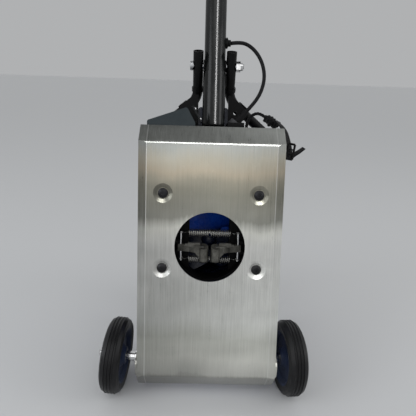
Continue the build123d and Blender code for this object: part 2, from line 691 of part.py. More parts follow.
def shoulder_yoke():
    """Both arms of the yoke, each with the block that clamps the frame's sloping shoulder."""
    points = [Vector(*point) for point in frame_route()]
    rod = frame_rod()
    arms = []
    for side, start, end in ((1, points[1], points[2]), (-1, points[6], points[5])):
        way = (end - start).normalized()
        middle = start + (end - start) * 0.26
        place = Plane(origin=middle, z_dir=way, x_dir=Vector(0, 1, 0).cross(way))
        arm = yoke_arm(side) + PARKED * (place * Box(24, 25, 17))
        arms.append(arm - PARKED * rod - gland_nut() - cable_gland())
    return Compound(children=arms)


# ---------------------------------------------------------------- pole
def cross_bolt():
    """Bolt through the fork's ends and the pole: the pole's pivot pin."""
    left = PIVOT_X - FORK_X - TUBE_R
    right = PIVOT_X + FORK_X + TUBE_R
    shape = turned([(0, left - 6.5), (8.5, left - 5.5), (9.0, left), (BOLT_R, left), (BOLT_R, right + 14),
                    (0, right + 14)])
    return PARKED * along_x(shape, 1, PIVOT_Y, PIVOT_Z)


def cross_nut():
    right = PIVOT_X + FORK_X + TUBE_R
    nut = Pos(0, 0, right) * extrude(RegularPolygon(9.8, 6), 8)
    nut += Pos(0, 0, right + 8) * turned([(0, 0), (8.2, 0), (7.6, 4), (5.2, 6.4), (0, 7.4)])
    nut -= Cylinder(BOLT_R, 400)
    return PARKED * along_x(nut, 1, PIVOT_Y, PIVOT_Z)


def pole_tube():
    pole = Cylinder(POLE_R, POLE_UP + POLE_DOWN, align=(Align.CENTER, Align.CENTER, Align.MIN))
    pole -= Cylinder(POLE_R - POLE_WALL, 3 * POLE_UP)
    pole = Pos(0, 0, -POLE_DOWN) * pole
    pole -= rod_x(BOLT_R + RUNNING_GAP, -POLE_R - 5, POLE_R + 5, 0, 0)
    pole -= rod_x(8.0, 0, POLE_R + 5, 0, GROMMET_Z)
    return POLE * pole


def pole_sleeve():
    """Clamped sleeve that stiffens the pole's foot."""
    sleeve = Pos(0, 0, -POLE_DOWN) * Cylinder(SLEEVE_R, POLE_DOWN - 14, align=(Align.CENTER, Align.CENTER, Align.MIN))
    return POLE * (sleeve - Cylinder(POLE_R, 3 * POLE_UP))


def pole_foot_plug():
    plug = Pos(0, 0, -POLE_DOWN - 2) * Cylinder(SLEEVE_R, 2, align=(Align.CENTER, Align.CENTER, Align.MIN))
    plug += Pos(0, 0, -POLE_DOWN) * Cylinder(POLE_R - POLE_WALL, 14, align=(Align.CENTER, Align.CENTER, Align.MIN))
    return POLE * plug


def pole_spacers():
    """Washers on the cross bolt, between the pole and each side of the fork."""
    washers = []
    for side in (-1, 1):
        washer = rod_x(11, side * (POLE_R - 1.5), side * (FORK_X - TUBE_R - 0.3), 0, 0)
        washer -= rod_x(BOLT_R + RUNNING_GAP, side * (POLE_R - 4), side * FORK_X, 0, 0)
        washers.append(POLE * (washer - Cylinder(POLE_R, 60)))
    return Compound(children=washers)


def pole_grommet():
    """Rubber grommet where the cable goes into the pole."""
    seat = rod_x(8.0, POLE_R - POLE_WALL - 1, POLE_R + 4, 0, GROMMET_Z)
    seat += rod_x(10.0, POLE_R + 0.5, POLE_R + 3, 0, GROMMET_Z)
    seat += rod_x(6.0, POLE_R + 3, GROMMET_TIP, 0, GROMMET_Z)
    inside = Cylinder(POLE_R - POLE_WALL, 200)
    return POLE * (seat - Pos(0, 0, GROMMET_Z) * inside) - cable()


def pole_grip():
    grip = Pos(0, 0, POLE_UP - 190) * Cylinder(23.5, 180, align=(Align.CENTER, Align.CENTER, Align.MIN))
    grip = fillet(grip.edges(), 3)
    for step in range(8):
        ring = Pos(0, 0, POLE_UP - 176 + 21 * step) * (Cylinder(25, 5) - Cylinder(22.4, 6))
        grip -= ring
    return POLE * (grip - Cylinder(POLE_R, 3 * POLE_UP))


def pole_end_cap():
    cap = Pos(0, 0, POLE_UP) * Cylinder(22.0, 8, align=(Align.CENTER, Align.CENTER, Align.MIN))
    cap = fillet(cap.edges().sort_by(Axis.Z)[-1], 4)
    cap += Pos(0, 0, POLE_UP - 16) * Cylinder(POLE_R - POLE_WALL, 16, align=(Align.CENTER, Align.CENTER, Align.MIN))
    return POLE * cap


# ---------------------------------------------------------------- cable
def cable_gland():
    """Tapered boot between the gland nut and the cable."""
    tip = Vector(*CABLE_ROUTE[0])
    way = (Vector(*CABLE_ROUTE[1]) - tip).normalized()
    boot_plane = Plane(origin=tip, z_dir=way)
    boot = boot_plane * turned([(0, 0), (CABLE_R + 1.2, 0), (8.0, -26), (8.0, -30), (0, -30)])
    return PARKED * boot


def gland_nut():
    """Grey gland nut on the yoke's right lug."""
    tip = Vector(*CABLE_ROUTE[0])
    way = (Vector(*CABLE_ROUTE[1]) - tip).normalized()
    nut_plane = Plane(origin=tip - way * 30, z_dir=way)
    return PARKED * (nut_plane * turned([(0, 0), (11.5, 0), (11.5, -12), (9.0, -13.5), (9.0, -24), (0, -24)]))


def cable():
    points = [(x, y + FOLD_Y, z) for x, y, z in CABLE_ROUTE]
    return tube_along(points, route_radii(points), CABLE_R)


# ---------------------------------------------------------------- all pieces
def build():
    nodes["base_plate"] = base_plate()
    nodes["plate_screws"] = plate_screws()
    nodes["hull"] = hull()
    nodes["hull_gasket"] = hull_gasket()
    nodes["guard_frame"] = guard_frame()
    nodes["guard_pivots"] = guard_pivots()
    nodes["upper_spring"] = guard_spring(SPRING_RISE[0])
    nodes["lower_spring"] = guard_spring(SPRING_RISE[1])
    nodes["propeller"] = propeller()
    nodes["motor_shaft"] = motor_shaft()
    nodes["motor_housing"] = motor_housing()
    nodes["motor_core"] = motor_core()
    nodes["motor_end_cap"] = motor_end_cap()
    nodes["shaft_seal"] = shaft_seal()
    nodes["shaft_bearing"] = shaft_bearing()
    nodes["discharge_collar"] = discharge_collar()
    nodes["leg_clamps"] = leg_clamps()
    nodes["debris_bag"] = debris_bag()
    nodes["neck_band"] = neck_band()
    nodes["side_strap"] = side_strap()
    nodes["strap_buckle"] = strap_buckle()
    nodes["rope_knot"] = rope_knot()
    nodes["draw_rope"] = draw_rope()
    nodes["shoulder_box"] = shoulder_box()
    nodes["shoulder_lid"] = shoulder_lid()
    nodes["lid_gasket"] = lid_gasket()
    nodes["latch_plate"] = latch_plate()
    nodes["latch_screws"] = latch_screws()
    for make in (guard_arm, guard_pin, wheel_tyre, wheel_hub, wheel_bush, side_bar):
        nodes[make.__name__ + "_right"] = make(1)
        nodes[make.__name__ + "_left"] = make(-1)
    for make in (axle_bolt, axle_spacer, axle_nut):
        nodes[make.__name__ + "s"] = Compound(children=[make(-1), make(1)])
    nodes["bar_rivets"] = bar_rivets()
    nodes["tube_frame"] = tube_frame()
    nodes["foot_sleeves"] = foot_sleeves()
    nodes["leg_bolts"] = leg_bolts()
    nodes["shoulder_yoke"] = shoulder_yoke()
    nodes["cross_bolt"] = cross_bolt()
    nodes["cross_nut"] = cross_nut()
    nodes["pole_tube"] = pole_tube()
    nodes["pole_sleeve"] = pole_sleeve()
    nodes["pole_foot_plug"] = pole_foot_plug()
    nodes["pole_spacers"] = pole_spacers()
    nodes["pole_grommet"] = pole_grommet()
    nodes["pole_grip"] = pole_grip()
    nodes["pole_end_cap"] = pole_end_cap()
    nodes["cable_gland"] = cable_gland()
    nodes["gland_nut"] = gland_nut()
    nodes["cable"] = cable()


build()
for label, route, radius in (("cable", CABLE_ROUTE, CABLE_R), ("draw_rope", ROPE_ROUTE, ROPE_R)):
    print(label, "length", round(nodes[label].volume / (math.pi * radius ** 2), 1),
          "arcs", [round(arc, 1) for arc in route_radii(route)])
os.makedirs("parts", exist_ok=True)
for name, shape in nodes.items():
    export_step(shape, f"parts/{name}.step")
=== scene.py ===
import json
import math

import bmesh
import bpy
from mathutils import Matrix, Vector, noise


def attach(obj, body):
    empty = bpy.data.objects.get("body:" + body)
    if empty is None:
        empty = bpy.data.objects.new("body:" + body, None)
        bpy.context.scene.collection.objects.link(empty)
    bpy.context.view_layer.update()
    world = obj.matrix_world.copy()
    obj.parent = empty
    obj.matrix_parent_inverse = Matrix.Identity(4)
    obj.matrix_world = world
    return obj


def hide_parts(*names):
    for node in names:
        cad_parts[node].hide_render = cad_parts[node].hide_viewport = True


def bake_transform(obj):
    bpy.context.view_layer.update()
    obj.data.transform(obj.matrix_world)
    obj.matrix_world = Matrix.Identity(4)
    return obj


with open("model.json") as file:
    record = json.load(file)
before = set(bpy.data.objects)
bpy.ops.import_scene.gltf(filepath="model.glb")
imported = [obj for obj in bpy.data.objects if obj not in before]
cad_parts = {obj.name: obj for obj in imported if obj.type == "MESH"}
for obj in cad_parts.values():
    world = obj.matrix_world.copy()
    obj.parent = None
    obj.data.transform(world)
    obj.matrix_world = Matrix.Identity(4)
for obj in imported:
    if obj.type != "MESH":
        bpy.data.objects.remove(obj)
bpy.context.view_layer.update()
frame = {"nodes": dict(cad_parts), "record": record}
NODES = frame["nodes"]

# ------------------------------------------------------------------ places shared with the CAD model
MM = 0.001
LEAN = math.radians(11.6)                  # the head leans back
FOLD_Y = -291.5 * MM                       # the pan's lower fold
PORT_S = 241.6 * MM
WHEEL_R = 70 * MM
AXLE_N = 45 * MM                           # the wheels' axle, behind the pan's face and up from its fold
AXLE_S = 19 * MM
FOLD_Z = WHEEL_R - AXLE_S * math.cos(LEAN) + AXLE_N * math.sin(LEAN)
DUCT_SHADE_RADIUS = 71 * MM                         # painted shade fills the duct's inside within this radius, just outside the duct's inner wall

HEAD = Matrix.Translation((0, FOLD_Y, FOLD_Z)) @ Matrix.Rotation(-LEAN, 4, "X")


def head(x, n, s):
    """A point given across the pan, behind its face and up from its lower fold, in millimetres."""
    return HEAD @ Vector((x * MM, n * MM, s * MM))


# ------------------------------------------------------------------ camera, floor and light
def add_camera():
    data = bpy.data.cameras.new("camera")
    data.sensor_width = 36
    data.lens = 36 * 408 / 416
    data.clip_start = 0.02
    camera = bpy.data.objects.new("camera", data)
    bpy.context.scene.collection.objects.link(camera)
    place = Matrix.Translation((-0.0202, FOLD_Y - 0.6106, 0.5893))
    yaw = Matrix.Rotation(math.radians(-1.30), 4, "Z")
    pitch = Matrix.Rotation(math.radians(90 - 18.36), 4, "X")
    roll = Matrix.Rotation(math.radians(1.888), 4, "Z")
    camera.matrix_world = place @ yaw @ pitch @ roll
    bpy.context.scene.camera = camera


def area_light(name, place, target, size, power, colour=(1, 1, 1)):
    data = bpy.data.lights.new(name, "AREA")
    data.shape = "RECTANGLE"
    data.size, data.size_y = size
    data.energy = power
    data.color = colour
    light = bpy.data.objects.new(name, data)
    light.matrix_world = (Vector(target) - Vector(place)).to_track_quat("-Z", "Y").to_matrix().to_4x4()
    light.location = place
    bpy.context.scene.collection.objects.link(light)
    return light


def add_stage():
    mesh = bpy.data.meshes.new("floor")
    mesh.from_pydata([(-30, -30, 0), (30, -30, 0), (30, 30, 0), (-30, 30, 0)], [], [(0, 1, 2, 3)])
    floor = bpy.data.objects.new("floor", mesh)
    bpy.context.scene.collection.objects.link(floor)
    floor.data.materials.append(material("floor", (0.53, 0.535, 0.54), 0.7))
    bpy.context.scene.view_settings.view_transform = "Standard"
    add_sky()
    area_light("sky_front", (0.1, -1.9, 2.9), (0, -0.2, 0.2), (2.6, 0.9), 10)
    area_light("window", (-2.3, -1.5, 1.5), (0, -0.2, 0.3), (1.5, 1.5), 20, (0.93, 0.96, 1.0))
    area_light("side_fill", (2.4, -0.8, 1.2), (0, -0.2, 0.3), (1.0, 1.4), 12)
    strip = area_light("pole_strip", (0.80, -2.45, 2.2), (0.0, -0.1, 1.5), (0.34, 4.4), 260)
    lit = bpy.data.collections.new("pole_strip_lights")
    for name in ("pole_tube", "pole_sleeve", "pole_grip"):
        lit.objects.link(NODES[name])
    strip.light_linking.receiver_collection = lit
    band = area_light("fold_band", (0.2, -1.75, 2.75), (0, -0.2, 0.45), (2.0, 0.7), 44)
    bent = bpy.data.collections.new("fold_band_lights")
    bent.objects.link(NODES["base_plate"])
    band.light_linking.receiver_collection = bent
    area_light("port_fill", (-0.15, -1.6, 0.75), (0, -0.2, 0.3), (0.7, 0.5), 1.6)


def add_sky():
    """Room light by height: bright from the front top, dark straight overhead."""
    world = bpy.data.worlds.new("studio")
    bpy.context.scene.world = world
    world.use_nodes = True
    tree = world.node_tree
    place = tree.nodes.new("ShaderNodeTexCoord")
    split = tree.nodes.new("ShaderNodeSeparateXYZ")
    ramp = tree.nodes.new("ShaderNodeValToRGB")
    tree.links.new(place.outputs["Generated"], split.inputs["Vector"])
    tree.links.new(split.outputs["Z"], ramp.inputs["Fac"])
    stops = ((0.0, 0.72), (0.26, 0.72), (0.45, 1.35), (0.82, 1.5), (0.93, 0.46), (1.0, 0.24))
    for index, (height, grey) in enumerate(stops):
        if index < 2:
            stop = ramp.color_ramp.elements[index]
            stop.position = height
        else:
            stop = ramp.color_ramp.elements.new(height)
        stop.color = (grey * 0.97, grey * 0.985, grey, 1)
    tree.links.new(ramp.outputs["Color"], tree.nodes["Background"].inputs["Color"])
    tree.nodes["Background"].inputs["Strength"].default_value = 0.62


# ------------------------------------------------------------------ materials
def material(name, colour, roughness, metallic=0.0, coat=0.0, specular=0.5):
    made = bpy.data.materials.new(name)
    made.use_nodes = True
    shader = made.node_tree.nodes["Principled BSDF"]
    shader.inputs["Base Color"].default_value = (*colour, 1)
    shader.inputs["Roughness"].default_value = roughness
    shader.inputs["Metallic"].default_value = metallic
    shader.inputs["Coat Weight"].default_value = coat
    shader.inputs["Specular IOR Level"].default_value = specular
    return made


class Nodes:
    """Short calls for building a material's node tree."""

    def __init__(self, made):
        self.tree = made.node_tree
        self.shader = self.tree.nodes["Principled BSDF"]
        self.place = self.tree.nodes.new("ShaderNodeTexCoord").outputs["Object"]

    def link(self, a, b):
        self.tree.links.new(a, b)
        return b

    def scaled(self, x, y, z, lean=0.0):
        node = self.tree.nodes.new("ShaderNodeMapping")
        node.inputs["Rotation"].default_value = (lean, 0, 0)
        node.inputs["Scale"].default_value = (x, y, z)
        self.link(self.place, node.inputs["Vector"])
        return node.outputs["Vector"]

    def noise(self, vector, scale, detail=4.0, rough=0.6, distortion=0.0):
        node = self.tree.nodes.new("ShaderNodeTexNoise")
        node.inputs["Scale"].default_value = scale
        node.inputs["Detail"].default_value = detail
        node.inputs["Roughness"].default_value = rough
        node.inputs["Distortion"].default_value = distortion
        self.link(vector, node.inputs["Vector"])
        return node.outputs["Fac"]

    def wave(self, vector, scale, direction="X", kind="BANDS", distortion=0.0):
        node = self.tree.nodes.new("ShaderNodeTexWave")
        node.wave_type = kind
        if kind == "BANDS":
            node.bands_direction = direction
        node.inputs["Scale"].default_value = scale
        node.inputs["Distortion"].default_value = distortion
        self.link(vector, node.inputs["Vector"])
        return node.outputs["Fac"]

    def ramp(self, value, *stops):
        node = self.tree.nodes.new("ShaderNodeValToRGB")
        for index, (place, colour) in enumerate(stops):
            if index < 2:
                stop = node.color_ramp.elements[index]
                stop.position = place
            else:
                stop = node.color_ramp.elements.new(place)
            grey = isinstance(colour, (int, float))
            stop.color = (colour, colour, colour, 1) if grey else (*colour, 1)
        self.link(value, node.inputs["Fac"])
        return node.outputs["Color"]

    def mix(self, factor, a, b, blend="MIX"):
        node = self.tree.nodes.new("ShaderNodeMix")
        node.data_type = "RGBA"
        node.blend_type = blend
        for socket, value in ((node.inputs[0], factor), (node.inputs[6], a), (node.inputs[7], b)):
            if isinstance(value, (int, float)):
                socket.default_value = value
            elif isinstance(value, tuple):
                socket.default_value = (*value, 1)
            else:
                self.link(value, socket)
        return node.outputs[2]

    def math(self, operation, *values):
        node = self.tree.nodes.new("ShaderNodeMath")
        node.operation = operation
        for socket, value in zip(node.inputs, values):
            if isinstance(value, (int, float)):
                socket.default_value = value
            else:
                self.link(value, socket)
        return node.outputs[0]

    def bump(self, height, strength, distance):
        node = self.tree.nodes.new("ShaderNodeBump")
        node.inputs["Strength"].default_value = strength
        node.inputs["Distance"].default_value = distance
        self.link(height, node.inputs["Height"])
        self.link(node.outputs["Normal"], self.shader.inputs["Normal"])

    def colour(self, output):
        self.link(output, self.shader.inputs["Base Color"])

    def rough(self, output):
        self.link(output, self.shader.inputs["Roughness"])


PAN_PAINTED_REFLECTION = (                              # height in half metres, and the painted reflection of the room's light and shade there
    (0.119, (0.70, 0.70, 0.67)), (0.128, (0.84, 0.84, 0.80)), (0.19, (1.06, 1.06, 1.00)),
    (0.27, (0.90, 0.91, 0.85)), (0.335, (1.18, 1.19, 1.16)), (0.60, (1.28, 1.28, 1.26)),
    (0.655, (1.12, 1.12, 1.06)), (0.69, (0.46, 0.46, 0.42)), (0.775, (0.42, 0.41, 0.35)),
    (0.815, (0.50, 0.47, 0.39)), (0.845, (0.68, 0.60, 0.48)), (0.885, (0.74, 0.70, 0.60)), (0.93, (0.70, 0.72, 0.70)),
)
CREASE_X = 113 * MM


def brushed_pan():
    """Stainless sheet with vertical grain and scuffs; the room's bands are painted reflection, the left side is
    painted shade, and the bright creases are painted highlights.
    """
    made = material("stainless_pan", (0.55, 0.54, 0.51), 0.34, metallic=1.0)
    n = Nodes(made)
    made.node_tree.nodes["Principled BSDF"].inputs["Anisotropic"].default_value = 0.35
    split = n.tree.nodes.new("ShaderNodeSeparateXYZ")
    n.link(n.place, split.inputs["Vector"])
    grain = n.noise(n.scaled(900, 60, 6, LEAN), 1.0, 3.0, 0.7)
    broad = n.noise(n.scaled(5, 4, 14, LEAN), 1.0, 2.0, 0.5, 0.6)
    marks = n.noise(n.scaled(46, 40, 34, LEAN), 1.0, 6.0, 0.75, 1.0)
    # painted reflection: the room's light and dark bands painted on by height, with wavering edges
    wander = n.math("MULTIPLY", n.math("SUBTRACT", n.noise(n.scaled(9, 4, 3), 1.0, 2.0, 0.5), 0.5), 0.10)
    fine = n.math("MULTIPLY", n.math("SUBTRACT", n.noise(n.scaled(160, 4, 5), 1.0, 2.0, 0.6), 0.5), 0.028)
    height = n.math("ADD", n.math("ADD", n.math("MULTIPLY", split.outputs["Z"], 2.0), wander), fine)
    painted_reflection = n.ramp(height, *PAN_PAINTED_REFLECTION)
    clouds = n.ramp(broad, (0.30, (0.50, 0.50, 0.485)), (0.55, (0.60, 0.598, 0.58)),
                    (0.75, (0.69, 0.687, 0.67)))
    scuffed = n.mix(n.ramp(marks, (0.52, 0.0), (0.66, 0.30)), clouds, (0.64, 0.64, 0.62))
    brushed = n.mix(0.38, scuffed, n.ramp(grain, (0.25, 0.30), (0.75, 0.80)), "OVERLAY")
    # painted shade: the sheet darker towards its left side, lighter to the right
    across = n.ramp(n.math("MULTIPLY_ADD", split.outputs["X"], 4.0, 0.5),
                    (0.02, 0.62), (0.55, 0.97), (0.8, 1.08))
    toned = n.mix(1.0, n.mix(1.0, brushed, painted_reflection, "MULTIPLY"), across, "MULTIPLY")
    # painted highlight: a bright line along each side bend
    off = n.math("ABSOLUTE", n.math("SUBTRACT", n.math("ABSOLUTE", split.outputs["X"], 0.0), CREASE_X), 0.0)
    crease = n.ramp(n.math("MULTIPLY", off, 250.0), (0.08, 1.0), (0.24, 0.0))
    n.colour(n.mix(n.math("MULTIPLY", crease, 0.36), toned, (0.93, 0.93, 0.91)))
    n.rough(n.ramp(n.mix(0.35, grain, marks), (0.3, 0.25), (0.75, 0.41)))
    n.bump(n.mix(0.25, grain, broad), 0.12, 0.0006)
    return made


def worn_metal(name, colour, roughness, grain=(300, 300, 300), bump=0.08, metallic=1.0):
    made = material(name, colour, roughness, metallic=metallic)
    n = Nodes(made)
    streaks = n.noise(n.scaled(*grain), 1.0, 4.0, 0.65)
    darker = tuple(0.62 * c for c in colour)
    n.colour(n.ramp(streaks, (0.3, darker), (0.6, colour)))
    n.rough(n.ramp(streaks, (0.3, roughness * 0.8), (0.7, min(1.0, roughness * 1.5))))
    n.bump(streaks, bump, 0.0005)
    return made


def cast_metal():
    """Rough grey casting with a fine pebbled skin and rubbed high places."""
    made = material("cast_arm", (0.10, 0.097, 0.085), 0.5, metallic=0.7)
    n = Nodes(made)
    pebble = n.noise(n.scaled(1, 1, 1), 900.0, 5.0, 0.7)
    patch = n.noise(n.scaled(1, 1, 1), 90.0, 3.0, 0.6)
    n.colour(n.ramp(n.mix(0.5, pebble, patch), (0.32, (0.030, 0.029, 0.025)), (0.5, (0.075, 0.073, 0.064)),
                    (0.72, (0.19, 0.185, 0.165))))
    n.rough(n.ramp(patch, (0.3, 0.36), (0.7, 0.58)))
    n.bump(pebble, 0.5, 0.0005)
    return made


def painted(name, colour, roughness, speckle=1600.0, dust=0.004, peel_depth=0.08, specular=0.14):
    """Satin coating: a fine orange-peel skin, faint dust and uneven gloss."""
    made = material(name, colour, roughness, specular=specular)
    n = Nodes(made)
    peel = n.noise(n.scaled(1, 1, 1), speckle, 2.0, 0.5)
    haze = n.noise(n.scaled(1, 1, 1), 22.0, 5.0, 0.65)
    dusty = tuple(c + dust for c in colour)
    n.colour(n.mix(n.ramp(haze, (0.45, 0.0), (0.8, 1.0)), colour, dusty))
    n.rough(n.ramp(haze, (0.3, roughness), (0.75, min(1.0, roughness + 0.16))))
    n.bump(peel, peel_depth, 0.0004)
    return made


def moulded(name, colour, roughness, grain=2200.0, depth=0.15, dust=0.006, coat=0.0):
    made = material(name, colour, roughness, coat=coat, specular=0.12)
    n = Nodes(made)
    leather = n.noise(n.scaled(1, 1, 1), grain, 3.0, 0.6)
    haze = n.noise(n.scaled(1, 1, 1), 30.0, 5.0, 0.7)
    dusty = tuple(min(1.0, c + dust) for c in colour)
    n.colour(n.mix(n.ramp(haze, (0.4, 0.0), (0.8, 1.0)), colour, dusty))
    n.rough(n.ramp(haze, (0.3, roughness), (0.8, min(1.0, roughness + 0.2))))
    n.bump(leather, depth, 0.0005)
    return made


def woven(name, colour, scale, depth=0.5, sheen=0.10):
    """Plain weave from two crossed waves, with uneven yarns."""
    made = material(name, colour, 0.85, specular=0.15)
    n = Nodes(made)
    n.shader.inputs["Sheen Weight"].default_value = sheen
    warp = n.wave(n.scaled(1, 1, 1), scale, "X")
    weft = n.wave(n.scaled(1, 1, 1), scale, "Z")
    yarn = n.noise(n.scaled(1, 1, 1), scale * 2.0, 3.0, 0.6)
    cloth = n.math("MULTIPLY", warp, weft)
    lighter = tuple(min(1.0, 2.2 * c + 0.004) for c in colour)
    n.colour(n.mix(n.math("MULTIPLY", cloth, yarn), colour, lighter))
    n.bump(cloth, depth, 0.0006)
    return made


def blue_moulding(name, painted_shade_below=-1.0):
    """Royal blue moulding with painted shade: dark blue on the upper spine and inside the duct; a rotor gets the
    painted dark blue shade below its hub instead of inside the duct.
    """
    made = material(name, (0.002, 0.040, 0.30), 0.26, specular=0.3)
    n = Nodes(made)
    split = n.tree.nodes.new("ShaderNodeSeparateXYZ")
    n.link(n.place, split.inputs["Vector"])
    haze = n.noise(n.scaled(1, 1, 1), 34.0, 5.0, 0.7)
    swirl = n.noise(n.scaled(1, 1, 1), 120.0, 3.0, 0.6, 1.5)
    royal = n.ramp(haze, (0.3, (0.0006, 0.030, 0.27)), (0.55, (0.001, 0.055, 0.44)),
                   (0.8, (0.003, 0.10, 0.58)))
    painted_shade_navy = n.ramp(haze, (0.35, (0.003, 0.005, 0.014)), (0.7, (0.008, 0.013, 0.034)))
    # painted shade: the upper spine dark blue above a height
    upper = n.ramp(split.outputs["Z"], (0.425, 0.0), (0.445, 1.0))
    coloured = n.mix(upper, royal, painted_shade_navy)
    if painted_shade_below < 0:
        # painted shade: the duct's inside dark blue within a radius of the port's axis
        depth = n.math("MULTIPLY", n.math("SUBTRACT", split.outputs["Y"], FOLD_Y), math.sin(LEAN))
        rise = n.math("MULTIPLY", n.math("SUBTRACT", split.outputs["Z"], FOLD_Z), math.cos(LEAN))
        off = n.math("SUBTRACT", n.math("ADD", depth, rise), PORT_S)
        radius = n.math("SQRT", n.math("ADD", n.math("POWER", n.math("ABSOLUTE", split.outputs["X"]), 2.0),
                                       n.math("POWER", n.math("ABSOLUTE", off), 2.0)))
        coloured = n.mix(n.math("LESS_THAN", radius, DUCT_SHADE_RADIUS), coloured, painted_shade_navy)
    else:
        # painted shade: the rotor dark blue below a height, and this shade turns with it
        lower = n.ramp(split.outputs["Z"], (painted_shade_below, 1.0), (painted_shade_below + 0.012, 0.0))
        coloured = n.mix(lower, coloured, painted_shade_navy)
    n.colour(coloured)
    n.rough(n.ramp(swirl, (0.3, 0.20), (0.75, 0.40)))
    n.bump(haze, 0.12, 0.0008)
    return made


def tyre_rubber():
    """Dull worn rubber: dark, with dry dusty patches and fine scuffs."""
    made = material("tyre_rubber", (0.004, 0.004, 0.0045), 0.36, specular=0.28)
    n = Nodes(made)
    dust = n.noise(n.scaled(1, 1, 1), 42.0, 7.0, 0.72)
    scuff = n.noise(n.scaled(1, 1, 1), 620.0, 3.0, 0.7)
    n.colour(n.ramp(n.mix(0.25, dust, scuff), (0.38, (0.0025, 0.0025, 0.003)), (0.58, (0.006, 0.006, 0.007)),
                    (0.80, (0.028, 0.027, 0.025))))
    n.rough(n.ramp(dust, (0.3, 0.26), (0.75, 0.60)))
    n.bump(scuff, 0.25, 0.0006)
    return made


def make_materials():
    return {
        "stainless": brushed_pan(),
        "black_steel": painted("black_coat", (0.002, 0.002, 0.0022), 0.36),
        "pole_black": painted("pole_coat", (0.0018, 0.002, 0.002), 0.15, dust=0.002, peel_depth=0.015,
                              specular=0.22),
        "chrome": worn_metal("plated", (0.78, 0.78, 0.78), 0.12, (200, 200, 200), 0.03),
        "zinc_steel": worn_metal("zinc", (0.50, 0.51, 0.52), 0.32, (400, 400, 400)),
        "screw_black": worn_metal("black_oxide", (0.035, 0.035, 0.037), 0.36, (600, 600, 600)),
        "cast_grey": cast_metal(),
        "spring_steel": worn_metal("spring_wire", (0.36, 0.355, 0.335), 0.16, (500, 500, 500), metallic=0.9),
        "blue_plastic": blue_moulding("blue_moulding"),
        "rotor_blue": blue_moulding("rotor_moulding", 0.291),
        "black_plastic": moulded("black_moulding", (0.0022, 0.0022, 0.0025), 0.42, dust=0.004),
        "slate_plastic": moulded("slate_moulding", (0.028, 0.036, 0.040), 0.42, dust=0.014),
        "hub_plastic": moulded("hub_moulding", (0.022, 0.032, 0.066), 0.36, dust=0.012),
        "tyre_rubber": tyre_rubber(),
        "rubber": moulded("soft_rubber", (0.006, 0.006, 0.0065), 0.55),
        "cable_rubber": moulded("cable_jacket", (0.006, 0.006, 0.007), 0.36),
        "grey_rubber": moulded("grey_nut", (0.070, 0.070, 0.074), 0.45),
        "bag_cloth": woven("bag_cloth", (0.012, 0.014, 0.019), 900.0, sheen=0.2),
        "webbing": woven("webbing", (0.0035, 0.0035, 0.004), 1500.0),
        "rope_fibre": woven("rope_fibre", (0.003, 0.003, 0.0035), 1800.0, 0.3),
        "latch_coat": painted("latch_coat", (0.010, 0.011, 0.012), 0.3),
        "bronze": worn_metal("bronze", (0.50, 0.34, 0.14), 0.35),
    }


BEVELS = {
    "hull": 0.8, "hull_gasket": 0.4, "guard_frame": 0.7, "guard_arm_left": 0.7, "guard_arm_right": 0.7,
    "shoulder_box": 0.8, "shoulder_lid": 0.7, "latch_plate": 0.3, "shoulder_yoke": 0.7, "side_bar_left": 0.4,
    "side_bar_right": 0.4, "discharge_collar": 0.8, "leg_clamps": 0.8, "cross_bolt": 0.4, "cross_nut": 0.5,
    "pole_sleeve": 0.5, "pole_foot_plug": 0.8, "wheel_hub_left": 0.5, "wheel_hub_right": 0.5,
    "axle_nut_left": 0.4, "axle_nut_right": 0.4, "propeller": 0.5, "foot_sleeves": 0.8,
}
SMOOTH_ANGLE = math.radians(38)
OWN_LOOKS = {"latch_plate": "latch_coat", "propeller": "rotor_blue"}


def dress_cad_nodes(looks):
    """Every CAD node takes the finish of its own slot; hard moulded and cut edges get a small bevel."""
    slots = {part["node"]: part["material_slot"] for part in frame["record"]["subparts"]}
    for name, piece in NODES.items():
        piece.data.materials.clear()
        piece.data.materials.append(looks[OWN_LOOKS.get(name, slots[name])])
        if name in BEVELS:
            bevel = piece.modifiers.new("edges", "BEVEL")
            bevel.width = BEVELS[name] * MM
            bevel.segments = 2
            bevel.limit_method = "ANGLE"
            bevel.angle_limit = SMOOTH_ANGLE
            bevel.harden_normals = True
            bevel.use_clamp_overlap = True


# ------------------------------------------------------------------ mesh helpers
def add_piece(name, mesh, body, look, smooth=True):
    piece = bpy.data.objects.new(name, mesh)
    bpy.context.scene.collection.objects.link(piece)
    if hasattr(mesh, "polygons"):
        for face in mesh.polygons:
            face.use_smooth = smooth
    mesh.materials.append(look)
    if body:
        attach(piece, body)
    return piece


def curve_points(points, order=3):
    curve = bpy.data.curves.new("route", "CURVE")
    curve.dimensions = "3D"
    curve.resolution_u = 16
    spline = curve.splines.new("NURBS")
    spline.points.add(len(points) - 1)
    for slot, point in zip(spline.points, points):
        slot.co = (*point, 1)
    spline.order_u = order
    spline.use_endpoint_u = True
    return curve


# ------------------------------------------------------------------ cords
CABLE_ROUTE = [
    (0.0660, 0.1870, 0.5220),
    (0.0805, 0.1910, 0.5375),
    (0.0920, 0.1970, 0.5565),
    (0.0980, 0.2040, 0.5790),
    (0.0960, 0.2120, 0.6015),
    (0.0870, 0.2195, 0.6220),
    (0.0715, 0.2245, 0.6385),
    (0.0515, 0.2245, 0.6465),
    (0.0312, 0.2179, 0.6427),
]
CABLE_D = 7 * MM


def route_line(points, name="route"):
    """The smooth line of a route: its NURBS spline, read as points."""
    curve = curve_points(points)
    holder = bpy.data.objects.new(name, curve)
    bpy.context.scene.collection.objects.link(holder)
    bpy.context.view_layer.update()
    mesh = bpy.data.meshes.new_from_object(holder)
    line = [vertex.co.copy() for vertex in mesh.vertices]
    bpy.data.meshes.remove(mesh)
    bpy.data.objects.remove(holder)
    return line


